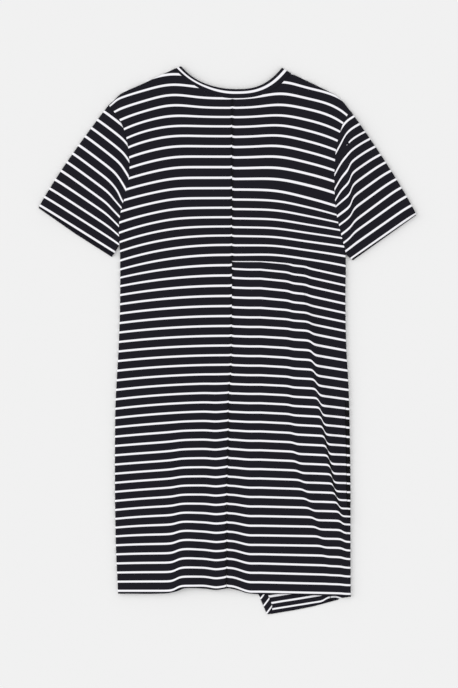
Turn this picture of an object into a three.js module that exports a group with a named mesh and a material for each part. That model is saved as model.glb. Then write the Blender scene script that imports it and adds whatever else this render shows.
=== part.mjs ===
// Short-sleeved mini dress in striped jersey, laid flat on its front with the back up.
// X runs across the dress, Y from the hem to the neck and Z up from the table. Millimetres.
// Tables give "across" from the centre back line and "up" from the hem.

import * as THREE from 'three';

// Cloth
const wall = 1.5;
const seamGap = 0.4;
const loft = 5;
const rimHeight = loft / 2;
const rimRadius = 2.5;
const rimAngles = [90, 50, 20, 0];

// Body
const underarm = { left: 596, right: 580 };
const armholeTop = { left: 834, right: 824.5 };
const armholeSteps = 12;
const bodySteps = 18;
const underarmFade = 12;
const waistSeam = { centre: 568.5, side: 546, flat: 40, reach: 155, bow: 1.75 };

// Neck
const neckLow = { across: 1.4, up: 845.4 };
const neckTip = { left: { across: -97.9, up: 895.5 }, right: { across: 101.7, up: 888 } };
const neckBow = { left: 1.9, right: 2.9 };
const bandLow = { across: 8, up: 860.9 };
const bandTip = { left: { across: -86, up: 900.2 }, right: { across: 86, up: 897.7 } };
const bandBow = { left: 2.55, right: 2.68 };
const frontNeckDrop = 52;

// Sleeves
const cuff = {
  left: { outer: { across: -326.6, up: 662.2 }, inner: { across: -201.5, up: 578.3 } },
  right: { outer: { across: 314.3, up: 648 }, inner: { across: 205, up: 571.2 } },
};
const sleeveBow = { rise: 2.85, lean: 1.25, fullness: 0.7 };
const sleeveSteps = 7;

// Low corner of the front
const frontHemUp = 5;
const cornerTop = { across: 44.8, up: 4 };
const cornerLow = { across: 60.3, up: -32.3 };
const cornerEnd = { across: 202.6, up: -4 };
const turnedHem = { thick: 1.2, rise: 0.3 };

// Side edges of the body and its armholes, from the hem to the shoulder
const edgeRows = [
  { up: 0, left: -193, right: 203 },
  { up: 85, left: -196.8, right: 202.5 },
  { up: 195, left: -198.4, right: 202.5 },
  { up: 310, left: -197.7, right: 200.6 },
  { up: 360, left: -195.5, right: 199 },
  { up: 420, left: -192, right: 195.5 },
  { up: 500, left: -189.6, right: 193.8 },
  { up: 580, left: -189.6, right: 194.2 },
  { up: 600, left: -190.8, right: 189.8 },
  { up: 625, left: -191.4, right: 183.7 },
  { up: 650, left: -188.8, right: 178.2 },
  { up: 680, left: -181, right: 175.5 },
  { up: 720, left: -173.7, right: 175.1 },
  { up: 760, left: -175.6, right: 178 },
  { up: 790, left: -182.2, right: 185.3 },
  { up: 810, left: -191.2, right: 193.4 },
  { up: 834, left: -209, right: 208.2 },
];

// Shoulder line, by its distance out from the centre back line
const shoulderRows = [
  { out: 97.9, left: 895.5, right: 889.6 },
  { out: 121, left: 884.6, right: 878.8 },
  { out: 155, left: 868.6, right: 862.3 },
  { out: 177, left: 859, right: 850.8 },
  { out: 189, left: 852.8, right: 840.5 },
  { out: 198, left: 844.3, right: 829.5 },
  { out: 209, left: 834, right: 816.1 },
];

// Centre back seam
const centreRows = [
  { up: 0, across: -8.5 },
  { up: 160, across: -8 },
  { up: 260, across: -5.2 },
  { up: 345, across: -4.4 },
  { up: 385, across: -0.4 },
  { up: 845, across: 1.4 },
];

// Hem of the back, which waves where the cloth lies in soft folds
const hemRows = [
  { across: -192, up: 2.4 },
  { across: -114, up: 2.9 },
  { across: -82, up: 12.2 },
  { across: -62, up: 12.2 },
  { across: -26, up: 9.5 },
  { across: -3, up: 11.4 },
  { across: 17, up: 6.5 },
  { across: 47, up: 1.5 },
  { across: 96, up: 3.4 },
  { across: 203, up: 0 },
];

// Folds of the top layer: a ridge from one point to another, with its rise and its reach on each side
const foldRows = [
  { name: 'right diagonal', from: [128, 490], to: [192, 130], rise: 4.5, before: 26, after: 10 },
  { name: 'right diagonal, short', from: [112, 245], to: [148, 128], rise: 2.5, before: 16, after: 10 },
  { name: 'hem crest left', from: [-72, -20], to: [-66, 230], rise: 3.5, before: 22, after: 26 },
  { name: 'hem crest centre', from: [-2, -20], to: [-6, 220], rise: 2.5, before: 12, after: 22 },
  { name: 'below right armhole', from: [96, 668], to: [182, 660], rise: 3, before: 16, after: 14 },
  { name: 'left sleeve', from: [-206, 712], to: [-206, 640], rise: 2.5, before: 12, after: 8 },
  { name: 'left cuff', from: [-262, 690], to: [-276, 648], rise: 2, before: 12, after: 12 },
  { name: 'right sleeve', from: [205, 800], to: [201, 600], rise: 3.5, before: 10, after: 18 },
];

const cloth = { color: '#22212a', roughness: 0.92, metalness: 0 };
const bandCloth = { color: '#2a2932', roughness: 0.9, metalness: 0 };
const insideCloth = { color: '#302f38', roughness: 0.94, metalness: 0 };

// Smooth value of one column of a table, at a place along another column
function reader(rows, key, name) {
  const last = rows.length - 1;
  const slope = (a, b) => (rows[b][name] - rows[a][name]) / (rows[b][key] - rows[a][key]);
  const tangents = rows.map((row, i) => slope(Math.max(i - 1, 0), Math.min(i + 1, last)));
  return (place) => {
    const at = THREE.MathUtils.clamp(place, rows[0][key], rows[last][key]);
    const i = Math.min(Math.max(rows.findIndex((row) => row[key] > at), 1) - 1, last - 1);
    const k = at >= rows[last][key] ? last - 1 : i;
    const span = rows[k + 1][key] - rows[k][key];
    const t = (at - rows[k][key]) / span;
    const rise = rows[k + 1][name] - rows[k][name];
    const bend = (1 - t) * (tangents[k] * span - rise) - t * (tangents[k + 1] * span - rise);
    return rows[k][name] + rise * t + t * (1 - t) * bend;
  };
}

// Straight pieces through a list of points, read by their place "at"
function chain(points) {
  return (at) => {
    const after = points.findIndex((point) => point.at >= at);
    const i = after < 0 ? points.length - 1 : Math.max(after, 1);
    const [a, b] = [points[i - 1], points[i]];
    const t = (at - a.at) / (b.at - a.at);
    const across = THREE.MathUtils.lerp(a.across, b.across, t);
    return { across, up: THREE.MathUtils.lerp(a.up, b.up, t) };
  };
}

const hemAt = reader(hemRows, 'across', 'up');
const centreAt = reader(centreRows, 'up', 'across');
const edgeAt = { left: reader(edgeRows, 'up', 'left'), right: reader(edgeRows, 'up', 'right') };
const shoulderAt = {
  left: reader(shoulderRows, 'out', 'left'),
  right: reader(shoulderRows, 'out', 'right'),
};
const outwards = { left: -1, right: 1 };

// Armhole from the underarm to the shoulder, the same points for the body and for the sleeve
function armholeLine(side) {
  const points = Array.from({ length: armholeSteps + 1 }, (_, step) => {
    const up = THREE.MathUtils.lerp(underarm[side], armholeTop[side], step / armholeSteps);
    return { at: up, across: edgeAt[side](up), up };
  });
  return chain(points);
}

const armholeAt = { left: armholeLine('left'), right: armholeLine('right') };

// Neck curve on one side, as a power of the way from its lowest point to its tip
function neckCurve(low, tip, bow, side, way) {
  return {
    across: THREE.MathUtils.lerp(low.across, tip[side].across, way),
    up: low.up + (tip[side].up - low.up) * way ** bow[side],
  };
}

const lowered = (point, drop) => ({ across: point.across, up: point.up - drop });
const layers = {
  back: { neckLow, bandLow },
  front: { neckLow: lowered(neckLow, frontNeckDrop), bandLow: lowered(bandLow, frontNeckDrop) },
};
const seamLine = (layer, side, way) => neckCurve(layers[layer].neckLow, neckTip, neckBow, side, way);
const bandLine = (layer, side, way) => neckCurve(layers[layer].bandLow, bandTip, bandBow, side, way);

// Stations from the centre along the neck, and then out along the shoulder
const neckStations = [0, 0.15, 0.32, 0.5, 0.66, 0.8, 0.91, 0.97, 1];
const shoulderStations = [121, 155, 177, 189, 198];

function topPoints(layer, side) {
  const neck = neckStations.map((way) => seamLine(layer, side, way));
  const shoulder = shoulderStations.map((out) => ({
    across: outwards[side] * out,
    up: shoulderAt[side](out),
  }));
  return [...neck, ...shoulder, armholeAt[side](armholeTop[side])];
}

// Height of the top layer over the table
function foldHeight(fold, x, y) {
  const [x0, y0] = fold.from;
  const dx = fold.to[0] - x0;
  const dy = fold.to[1] - y0;
  const length = Math.hypot(dx, dy);
  const along = ((x - x0) * dx + (y - y0) * dy) / length ** 2;
  const beside = ((x - x0) * -dy + (y - y0) * dx) / length;
  const reach = beside < 0 ? fold.before : fold.after;
  const ends = THREE.MathUtils.clamp(along, 0, 1);
  const spread = (beside / reach) ** 2 + (((along - ends) * length) / reach) ** 2;
  return fold.rise * Math.sin(Math.PI * THREE.MathUtils.lerp(0.25, 0.8, ends)) * Math.exp(-spread);
}

function topHeight(x, y) {
  return foldRows.reduce((height, fold) => height + foldHeight(fold, x, y), loft);
}

// One column or row of a panel; a turned one lies on the rounded rim
const flat = (at) => ({ at, sin: 0, cos: 1 });

function rimmed(list, length, fromEnd) {
  const rims = rimAngles.map((angle) => {
    const turn = THREE.MathUtils.degToRad(angle);
    const inset = (rimRadius * (1 - Math.sin(turn))) / length;
    return { at: fromEnd ? 1 - inset : inset, sin: Math.sin(turn), cos: Math.cos(turn) };
  });
  if (fromEnd) rims.reverse();
  return fromEnd ? [...list.map(flat), ...rims] : [...rims, ...list.map(flat)];
}

// Patch between four edges
function patchPoint(edges, u, v) {
  const low = edges.bottom(u);
  const high = edges.top(u);
  const start = edges.start(v);
  const end = edges.end(v);
  const mix = (name) => {
    const corners =
      (1 - u) * ((1 - v) * edges.bottom(0)[name] + v * edges.top(0)[name]) +
      u * ((1 - v) * edges.bottom(1)[name] + v * edges.top(1)[name]);
    const across = (1 - u) * start[name] + u * end[name];
    return (1 - v) * low[name] + v * high[name] + across - corners;
  };
  return new THREE.Vector2(mix('across'), mix('up'));
}

function inward(edges, u, v, du, dv) {
  const here = patchPoint(edges, u, v);
  return patchPoint(edges, u + du, v + dv).sub(here).normalize();
}

// Outer and inner point of a layer, with its edge turned towards the seam level
function layerPoint(edges, column, row, layer) {
  const { at: u } = column;
  const { at: v } = row;
  const outer = patchPoint(edges, u, v);
  const sideWeight = layer.sideWeight(u, v);
  const endWeight = layer.endWeight(u, v);
  const fall = 1 - (1 - (1 - column.cos) * sideWeight) * (1 - (1 - row.cos) * endWeight);
  const inner = outer.clone();
  const small = 0.01;
  if (column.sin > 0) {
    const du = u > 0.5 ? -small : small;
    inner.addScaledVector(inward(edges, u, v, du, 0), wall * column.sin * sideWeight);
  }
  if (row.sin > 0) {
    inner.addScaledVector(inward(edges, u, v, 0, -small), wall * row.sin * endWeight);
  }
  const high = layer.height(outer.x, outer.y);
  const low = high + layer.inside * wall;
  return {
    outer: new THREE.Vector3(outer.x, outer.y, THREE.MathUtils.lerp(high, layer.seam, fall)),
    inner: new THREE.Vector3(inner.x, inner.y, THREE.MathUtils.lerp(low, layer.seam, fall)),
  };
}

// Closed solid between the outer and inner points of a grid; a loop joins its last row to its first
function solidFrom(grid, loop) {
  const rows = grid.length;
  const columns = grid[0].length;
  const points = grid.flatMap((row) => row.flatMap((p) => [p.outer, p.inner]));
  const index = (i, j, side) => ((i % rows) * columns + j) * 2 + side;
  const faces = [];
  const quad = (a, b, c, d) => faces.push([a, b, c], [a, c, d]);
  const spans = loop ? rows : rows - 1;
  for (let i = 0; i < spans; i += 1) {
    for (let j = 0; j < columns - 1; j += 1) {
      quad(index(i, j, 0), index(i, j + 1, 0), index(i + 1, j + 1, 0), index(i + 1, j, 0));
      quad(index(i, j, 1), index(i + 1, j, 1), index(i + 1, j + 1, 1), index(i, j + 1, 1));
    }
    const end = columns - 1;
    quad(index(i, 0, 1), index(i, 0, 0), index(i + 1, 0, 0), index(i + 1, 0, 1));
    quad(index(i, end, 0), index(i, end, 1), index(i + 1, end, 1), index(i + 1, end, 0));
  }
  if (!loop) {
    const end = rows - 1;
    for (let j = 0; j < columns - 1; j += 1) {
      quad(index(0, j, 1), index(0, j + 1, 1), index(0, j + 1, 0), index(0, j, 0));
      quad(index(end, j, 0), index(end, j + 1, 0), index(end, j + 1, 1), index(end, j, 1));
    }
  }
  const volume = faces.reduce((sum, [a, b, c]) => {
    const cross = new THREE.Vector3().crossVectors(points[b], points[c]);
    return sum + points[a].dot(cross);
  }, 0);
  const ordered = volume < 0 ? faces.map(([a, b, c]) => [a, c, b]) : faces;
  const geometry = new THREE.BufferGeometry();
  const numbers = points.flatMap((p) => [p.x, p.y, p.z]);
  geometry.setAttribute('position', new THREE.Float32BufferAttribute(numbers, 3));
  geometry.setIndex(ordered.flat());
  geometry.computeVertexNormals();
  return geometry;
}

function piece(name, geometry, finish) {
  const mesh = new THREE.Mesh(geometry, new THREE.MeshStandardMaterial(finish));
  mesh.name = name;
  return mesh;
}

const topLayer = { height: topHeight, inside: -1, seam: rimHeight + seamGap / 2 };
const underLayer = { height: () => 0, inside: 1, seam: rimHeight - seamGap / 2 };
const halfGap = seamGap / 2;

function sideWeight(side, up) {
  return THREE.MathUtils.clamp(1 - (up - underarm[side]) / underarmFade, 0, 1);
}

function sideEdge(side, up) {
  if (up > underarm[side]) {
    const point = armholeAt[side](up);
    return { across: point.across - outwards[side] * halfGap, up };
  }
  return { across: edgeAt[side](up), up };
}

// Heights on the side edge at which a panel has its rows
function rowHeights(side, from, to, count) {
  const low = Array.from({ length: count }, (_, i) => (i * underarm[side]) / count);
  const span = armholeTop[side] - underarm[side];
  const high = Array.from({ length: armholeSteps }, (_, i) => underarm[side] + (i * span) / armholeSteps);
  return [from, ...[...low, ...high].filter((up) => up > from + 6 && up < to - 3), to];
}

function waistAt(side, way) {
  const across = way * Math.abs(edgeAt[side](waistSeam.side));
  const drop = THREE.MathUtils.clamp((across - waistSeam.flat) / waistSeam.reach, 0, 1);
  const up = THREE.MathUtils.lerp(waistSeam.centre, waistSeam.side, drop ** waistSeam.bow);
  return { across: outwards[side] * across, up };
}

function hemPoint(side, way) {
  const across = THREE.MathUtils.lerp(centreAt(0), edgeAt[side](0), way);
  return { across, up: hemAt(across) };
}

// Top edge of a back panel, its place "at" going from the centre to the end of the shoulder
function topEdge(side) {
  const points = topPoints('back', side);
  const last = points[points.length - 1];
  const ends = points.map((point) => ({
    at: (point.across - points[0].across) / (last.across - points[0].across),
    across: point.across,
    up: point.up - halfGap,
  }));
  ends[ends.length - 1].across -= outwards[side] * halfGap;
  ends[0].across += outwards[side] * halfGap;
  return { line: chain(ends), places: ends.map((point) => point.at), tip: ends[neckStations.length - 1].at };
}

// Back panel between two edges; columns run from the centre seam to the side
function backPanel(side, part) {
  const out = outwards[side];
  const top = topEdge(side);
  const reachesTop = part !== 'lower';
  const bottom = part === 'upper' ? (way) => waistAt(side, way) : (way) => hemPoint(side, way);
  const high = reachesTop ? top.line : (way) => waistAt(side, way);
  const from = part === 'upper' ? waistSeam.side : 0;
  const to = reachesTop ? armholeTop[side] : waistSeam.side;
  const shift = (point, across, up) => ({ across: point.across + across, up: point.up + up });
  const waistGap = { bottom: part === 'upper' ? halfGap : 0, top: reachesTop ? 0 : -halfGap };
  const centre = (up) => ({ across: centreAt(up) + out * halfGap, up });
  const edges = {
    start: (v) => centre(THREE.MathUtils.lerp(edges.bottom(0).up, edges.top(0).up, v)),
    end: (v) => {
      const up = THREE.MathUtils.lerp(from, to, v);
      const point = sideEdge(side, up);
      const start = edges.bottom(1).up - from;
      const finish = edges.top(1).up - to;
      return shift(point, 0, THREE.MathUtils.lerp(start, finish, v));
    },
    bottom: (u) => shift(bottom(u), (1 - u) * out * halfGap, waistGap.bottom),
    top: (u) => shift(high(u), reachesTop ? 0 : (1 - u) * out * halfGap, waistGap.top),
  };
  const width = Math.abs(edges.top(1).across - edges.top(0).across);
  const columns = rimmed(top.places.slice(0, -1), width, true);
  const heights = rowHeights(side, from, to, bodySteps);
  const places = heights.map((up) => (up - from) / (to - from));
  const rows = reachesTop ? rimmed(places.slice(0, -1), to - from, true) : places.map(flat);
  const layer = {
    ...topLayer,
    sideWeight: (u, v) => sideWeight(side, THREE.MathUtils.lerp(from, to, v)),
    endWeight: (u) => (u >= top.tip - 1e-6 ? 1 : 0),
  };
  return solidFrom(rows.map((row) => columns.map((column) => layerPoint(edges, column, row, layer))), false);
}

// Front panel, flat on the table, from the left side to the right side
function frontPanel() {
  const left = topPoints('front', 'left');
  const right = topPoints('front', 'right');
  const all = [...left.slice(1).reverse(), ...right];
  const first = all[0].across + halfGap;
  const last = all[all.length - 1].across - halfGap;
  const top = all.map((point) => ({
    at: (point.across - first) / (last - first),
    across: point.across,
    up: point.up - halfGap,
  }));
  Object.assign(top[0], { at: 0, across: first });
  Object.assign(top[top.length - 1], { at: 1, across: last });
  const centreColumn = left.length - 1;
  const slant = { start: centreColumn + 3, end: centreColumn + 4 };
  const hem = [
    { at: 0, across: edgeAt.left(0), up: frontHemUp },
    { at: top[slant.start].at, ...cornerTop },
    { at: top[slant.end].at, ...cornerLow },
    { at: 1, ...cornerEnd },
  ];
  const edges = {
    bottom: chain(hem),
    top: chain(top),
    start: (v) => sideRow('left', v, edges),
    end: (v) => sideRow('right', v, edges),
  };
  const inside = rimmed(top.map((point) => point.at).slice(1, -1), last - first, false);
  const columns = rimmed([], last - first, true);
  const heights = rowHeights('left', 0, armholeTop.left, 6);
  const places = heights.map((up) => up / armholeTop.left);
  const rows = rimmed(places.slice(0, -1), armholeTop.left, true);
  const tips = [top[shoulderStations.length + 1].at, top[top.length - 2 - shoulderStations.length].at];
  const layer = {
    ...underLayer,
    sideWeight: (u, v) => {
      const side = u < 0.5 ? 'left' : 'right';
      return sideWeight(side, rowUp(side, v));
    },
    endWeight: (u) => (u <= tips[0] + 1e-6 || u >= tips[1] - 1e-6 ? 1 : 0),
  };
  const grid = rows.map((row) =>
    [...inside, ...columns].map((column) => layerPoint(edges, column, row, layer)),
  );
  return solidFrom(grid, false);
}

// Height on a side edge for a row of the front, so that both armholes have their own points
function rowUp(side, v) {
  const split = underarm.left / armholeTop.left;
  if (v < split) return (v / split) * underarm[side];
  return THREE.MathUtils.lerp(underarm[side], armholeTop[side], (v - split) / (1 - split));
}

function sideRow(side, v, edges) {
  const u = side === 'left' ? 0 : 1;
  const point = sideEdge(side, rowUp(side, v));
  const start = edges.bottom(u).up;
  const finish = edges.top(u).up - armholeTop[side];
  return { across: point.across, up: point.up + THREE.MathUtils.lerp(start, finish, v) };
}

// Flattened tube: each ring runs over the top layer and back through the under layer
function tubeFrom(stations, ringPoint) {
  const under = stations.slice(1, -1).reverse();
  const grid = [
    ...stations.map((station) => ringPoint(station, 'top')),
    ...under.map((station) => ringPoint(station, 'under')),
  ];
  return solidFrom(grid, true);
}

// Sleeve: rings run from the outer edge to the underarm and back, columns from armhole to cuff
function sleeve(side) {
  const out = outwards[side];
  const { outer, inner } = cuff[side];
  const armhole = (f) => {
    const up = THREE.MathUtils.lerp(armholeTop[side], underarm[side], f);
    const point = armholeAt[side](up);
    return { across: point.across + out * halfGap, up: point.up };
  };
  const straight = (a, b, t) => ({
    across: THREE.MathUtils.lerp(a.across, b.across, t),
    up: THREE.MathUtils.lerp(a.up, b.up, t),
  });
  const bow = (t) => {
    const wave = Math.sin(Math.PI * THREE.MathUtils.clamp(t, 0, 1) ** sleeveBow.lean);
    return sleeveBow.rise * Math.max(wave, 0) ** sleeveBow.fullness;
  };
  const edges = {
    bottom: armhole,
    top: (f) => straight(outer, inner, f),
    start: (t) => {
      const point = straight(armhole(0), outer, t);
      return { across: point.across + out * bow(t), up: point.up + bow(t) };
    },
    end: (t) => straight(armhole(1), inner, t),
  };
  const inside = Array.from({ length: armholeSteps - 1 }, (_, i) => (i + 1) / armholeSteps);
  const along = Array.from({ length: sleeveSteps + 1 }, (_, i) => flat(i / sleeveSteps));
  const ringLength = (t) => patchPoint(edges, 1, t).distanceTo(patchPoint(edges, 0, t));
  const stations = Array.from({ length: inside.length + 2 * rimAngles.length }, (_, i) => i);
  const point = (station, row, name) => {
    const length = ringLength(row.at);
    const columns = [...rimmed(inside, length, false), ...rimmed([], length, true)];
    const base = name === 'top' ? topLayer : underLayer;
    const layer = { ...base, seam: rimHeight, sideWeight: () => 1, endWeight: () => 0 };
    return layerPoint(edges, columns[station], row, layer);
  };
  return tubeFrom(stations, (station, name) => along.map((row) => point(station, row, name)));
}

// Neckband: a flat ring round the neck, folded at both shoulders
function neckband() {
  const ways = (side) => neckStations.slice(1, -1).map((way) => ({ side, way }));
  const shoulderEnd = (side) => {
    const reach = Math.abs(neckTip[side].across);
    return rimAngles.map((angle) => {
      const turn = THREE.MathUtils.degToRad(angle);
      const way = 1 - (rimRadius * (1 - Math.sin(turn))) / reach;
      return { side, way, sin: Math.sin(turn), cos: Math.cos(turn) };
    });
  };
  const middle = [...ways('left').reverse(), { side: 'left', way: 0 }, ...ways('right')];
  const stations = [
    ...shoulderEnd('left'),
    ...middle.slice(1, -1).map((station) => ({ ...station, sin: 0, cos: 1 })),
    ...shoulderEnd('right').reverse(),
  ];
  const place = (station, layer, way) => {
    const seam = seamLine(layer, station.side, way);
    const edge = bandLine(layer, station.side, way);
    return [{ across: seam.across, up: seam.up + halfGap }, edge];
  };
  const section = (station, name) => {
    const isTop = name === 'top';
    const layer = isTop ? 'back' : 'front';
    const inset = (wall * station.sin) / Math.abs(neckTip[station.side].across);
    const outer = place(station, layer, station.way);
    const inner = place(station, layer, station.way - inset);
    return outer.map((point, i) => {
      const high = isTop ? topHeight(point.across, point.up) : 0;
      const low = isTop ? high - wall : wall;
      const fall = 1 - station.cos;
      return {
        outer: new THREE.Vector3(point.across, point.up, THREE.MathUtils.lerp(high, rimHeight, fall)),
        inner: new THREE.Vector3(inner[i].across, inner[i].up, THREE.MathUtils.lerp(low, rimHeight, fall)),
      };
    });
  };
  return tubeFrom(stations, section);
}

// Turned hem on the slanted edge of the low corner, flat on the inside of the front
function cornerHem() {
  const shape = new THREE.Shape();
  shape.moveTo(cornerTop.across + 1.5, cornerTop.up - 4);
  shape.lineTo(cornerLow.across - 0.2, cornerLow.up + 1.6);
  shape.quadraticCurveTo(cornerLow.across + 0.4, cornerLow.up + 0.6, cornerLow.across + 2, cornerLow.up + 1.2);
  shape.lineTo(cornerLow.across + 8, cornerLow.up + 3);
  shape.quadraticCurveTo(cornerLow.across + 8, cornerLow.up + 14, cornerLow.across + 2, cornerLow.up + 31);
  shape.closePath();
  const geometry = new THREE.ExtrudeGeometry(shape, { depth: turnedHem.thick, bevelEnabled: false });
  geometry.translate(0, 0, wall + turnedHem.rise);
  return geometry;
}

const dress = new THREE.Group();
dress.add(
  piece('front', frontPanel(), insideCloth),
  piece('front_corner_hem', cornerHem(), insideCloth),
  piece('back_left', backPanel('left', 'whole'), cloth),
  piece('back_right_lower', backPanel('right', 'lower'), cloth),
  piece('back_right_upper', backPanel('right', 'upper'), cloth),
  piece('sleeve_left', sleeve('left'), cloth),
  piece('sleeve_right', sleeve('right'), cloth),
  piece('neckband', neckband(), bandCloth),
);

// Origin under the middle of the outline, on the table
const box = new THREE.Box3().setFromObject(dress);
const middle = box.getCenter(new THREE.Vector3());
dress.position.set(-middle.x, -middle.y, -box.min.z);

const part = new THREE.Group();
part.add(dress);

export default part;
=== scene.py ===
# Short-sleeved mini dress in striped cotton jersey, laid flat on its front with the back up.
import math

import bpy
import numpy as np
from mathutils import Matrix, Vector


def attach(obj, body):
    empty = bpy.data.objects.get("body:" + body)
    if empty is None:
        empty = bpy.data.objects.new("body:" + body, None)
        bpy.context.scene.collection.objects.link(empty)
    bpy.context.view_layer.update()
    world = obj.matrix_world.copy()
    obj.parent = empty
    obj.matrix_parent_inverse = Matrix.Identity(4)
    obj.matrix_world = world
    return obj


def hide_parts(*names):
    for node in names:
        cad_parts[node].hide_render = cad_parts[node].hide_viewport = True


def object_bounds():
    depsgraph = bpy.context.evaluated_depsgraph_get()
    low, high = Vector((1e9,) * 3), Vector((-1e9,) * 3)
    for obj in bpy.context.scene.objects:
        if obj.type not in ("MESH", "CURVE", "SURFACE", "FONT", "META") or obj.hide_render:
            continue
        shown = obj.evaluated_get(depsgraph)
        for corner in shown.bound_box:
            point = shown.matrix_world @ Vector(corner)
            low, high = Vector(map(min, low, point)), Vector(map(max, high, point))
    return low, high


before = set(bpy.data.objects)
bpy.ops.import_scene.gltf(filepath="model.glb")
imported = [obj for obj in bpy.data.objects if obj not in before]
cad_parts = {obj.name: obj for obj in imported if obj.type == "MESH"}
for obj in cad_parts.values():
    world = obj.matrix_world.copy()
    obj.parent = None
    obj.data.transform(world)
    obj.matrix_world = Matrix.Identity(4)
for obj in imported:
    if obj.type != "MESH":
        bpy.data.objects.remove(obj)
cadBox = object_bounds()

mm = 0.001

# Lengths below are in millimetres: "across" from the centre back line, "up" from the hem.
dress = {
    "wall": 0.9,            # jersey, a little over its real 0.8
    "loft": 5.0,            # top of the laid dress over the table
    "rimHeight": 2.5,
    "rimRadius": 2.5,
    "seamGap": 0.16,        # what shows between two sewn edges
    "gridStep": 2.6,
    "underarm": {"left": 596.0, "right": 580.0},
    "armholeTop": {"left": 834.0, "right": 824.5},
    # Outward bow of a sleeve's outer edge: its height, its lean to the cuff and how full it is
    "sleeveBow": {"rise": 2.85, "lean": 1.25, "fullness": 0.7},
    "underarmFade": 12.0,
}

# Where the centre back line and the hem line lie in the frame
rightCuffReach = 314.3
lowCornerDrop = 32.3
centreLine = cadBox[1].x / mm - rightCuffReach
hemLine = cadBox[0].y / mm + lowCornerDrop

outwards = {"left": -1.0, "right": 1.0}

# Combed cotton jersey with a little elastane, circular knitted and yarn dyed: matt and softly
# fuzzy to the eye, with flat stitch columns, clean stripe edges and no shine
jersey = {
    # The last black and the last white below are painted shade, for the seams and the long fold
    "black": "#110f18", "blackWorn": "#1a1922", "blackPaintedShade": "#060509",
    "white": "#fefdff", "whiteShade": "#f4f3fb", "whitePaintedShade": "#2c2b34",
    "stripeHalf": 0.107,      # half of the 3.5 mm white stripe, of a 16.3 mm repeat
    "stripeEdge": 0.012,
    "bandHalf": 0.12,
    "waleMm": 1.25,           # real stitch columns are 0.75 mm, drawn coarser so that they show
    "fuzzScale": (260, 900, 260),
    "relief": 0.18,
    "roughness": 0.92, "specular": 0.22, "ior": 1.46,
}

edgeRows = [
    {"up": 0, "left": -193, "right": 203},
    {"up": 85, "left": -196.8, "right": 202.5},
    {"up": 195, "left": -198.4, "right": 202.5},
    {"up": 310, "left": -197.7, "right": 200.6},
    {"up": 360, "left": -195.5, "right": 199},
    {"up": 420, "left": -192, "right": 195.5},
    {"up": 500, "left": -189.6, "right": 193.8},
    {"up": 580, "left": -189.6, "right": 194.2},
    {"up": 600, "left": -190.8, "right": 189.8},
    {"up": 625, "left": -191.4, "right": 183.7},
    {"up": 650, "left": -188.8, "right": 178.2},
    {"up": 680, "left": -181, "right": 175.5},
    {"up": 720, "left": -173.7, "right": 175.1},
    {"up": 760, "left": -175.6, "right": 178},
    {"up": 790, "left": -182.2, "right": 185.3},
    {"up": 810, "left": -191.2, "right": 193.4},
    {"up": 834, "left": -209, "right": 208.2},
]
shoulderRows = [
    {"out": 97.9, "left": 895.5, "right": 889.6},
    {"out": 121, "left": 884.6, "right": 878.8},
    {"out": 155, "left": 868.6, "right": 862.3},
    {"out": 177, "left": 859, "right": 850.8},
    {"out": 189, "left": 852.8, "right": 840.5},
    {"out": 198, "left": 844.3, "right": 829.5},
    {"out": 209, "left": 834, "right": 816.1},
]
centreRows = [
    {"up": 0, "across": -8.5},
    {"up": 160, "across": -8},
    {"up": 260, "across": -5.2},
    {"up": 345, "across": -4.4},
    {"up": 385, "across": -0.4},
    {"up": 845, "across": 1.4},
]
hemRows = [
    {"across": -192, "up": 3},
    {"across": -114, "up": 3.4},
    {"across": -94, "up": 7},
    {"across": -80, "up": 12.5},
    {"across": -61, "up": 12.8},
    {"across": -42, "up": 11.3},
    {"across": -26, "up": 9.4},
    {"across": -6, "up": 12.4},
    {"across": 3, "up": 10.9},
    {"across": 13.6, "up": 8.1},
    {"across": 25.5, "up": 4.2},
    {"across": 49, "up": 2.2},
    {"across": 96, "up": 2.6},
    {"across": 157, "up": -0.1},
    {"across": 203, "up": -1.9},
]


# Smooth value of one column of a table, read along another column; a steady one never swings back
def tableReader(rows, key, name, steady=False):
    at = np.array([row[key] for row in rows], float)
    value = np.array([row[name] for row in rows], float)
    low = np.maximum(np.arange(len(at)) - 1, 0)
    high = np.minimum(np.arange(len(at)) + 1, len(at) - 1)
    tangent = (value[high] - value[low]) / (at[high] - at[low])
    if steady:
        slope = np.diff(value) / np.diff(at)
        before, after = np.append(slope[0], slope), np.append(slope, slope[-1])
        tangent = np.where(before * after > 0, 2 * before * after / (before + after + 1e-12), 0)

    def read(place):
        place = np.clip(place, at[0], at[-1])
        k = np.clip(np.searchsorted(at, place, side="right") - 1, 0, len(at) - 2)
        span = at[k + 1] - at[k]
        t = (place - at[k]) / span
        rise = value[k + 1] - value[k]
        bend = (1 - t) * (tangent[k] * span - rise) - t * (tangent[k + 1] * span - rise)
        return value[k] + rise * t + t * (1 - t) * bend

    return read


def mix(a, b, t):
    return a + (b - a) * t


def smoothStep(value):
    t = np.clip(value, 0, 1)
    return t * t * (3 - 2 * t)


edgeAt = {side: tableReader(edgeRows, "up", side) for side in outwards}
shoulderAt = {side: tableReader(shoulderRows, "out", side) for side in outwards}
centreAt = tableReader(centreRows, "up", "across")
hemAt = tableReader(hemRows, "across", "up")

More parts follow.
